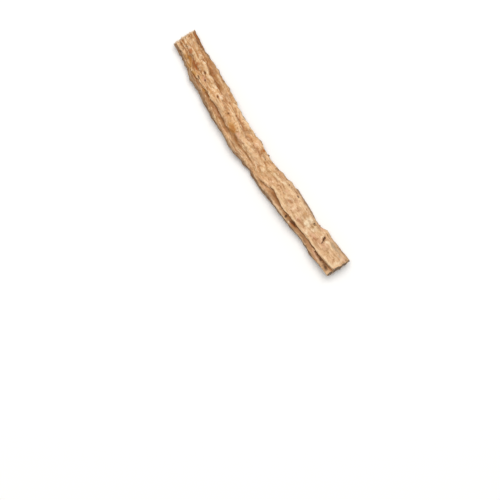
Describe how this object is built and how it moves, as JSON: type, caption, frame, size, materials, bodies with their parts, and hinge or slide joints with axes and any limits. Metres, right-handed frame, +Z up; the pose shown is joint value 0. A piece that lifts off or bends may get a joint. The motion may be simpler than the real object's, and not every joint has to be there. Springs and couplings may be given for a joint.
{
  "type": "glehnia root",
  "caption": "Dried glehnia root cut to a stick, slightly bowed, with lengthwise furrows, low ribs, rootlet scars and rough cut ends, lying on its flattened underside.",
  "frame": {"origin": "on the surface that the root lies on, below the middle of the root's box", "axes": "+X along the root from its crown end to its tip end, +Y to the hollow side of its bow, +Z up"},
  "size_m": [0.0868, 0.0114, 0.008],
  "materials": {
    "bark": "matt dried root skin"
  },
  "bodies": {
    "root": {"root": "bark"}
  },
  "joints": []
}
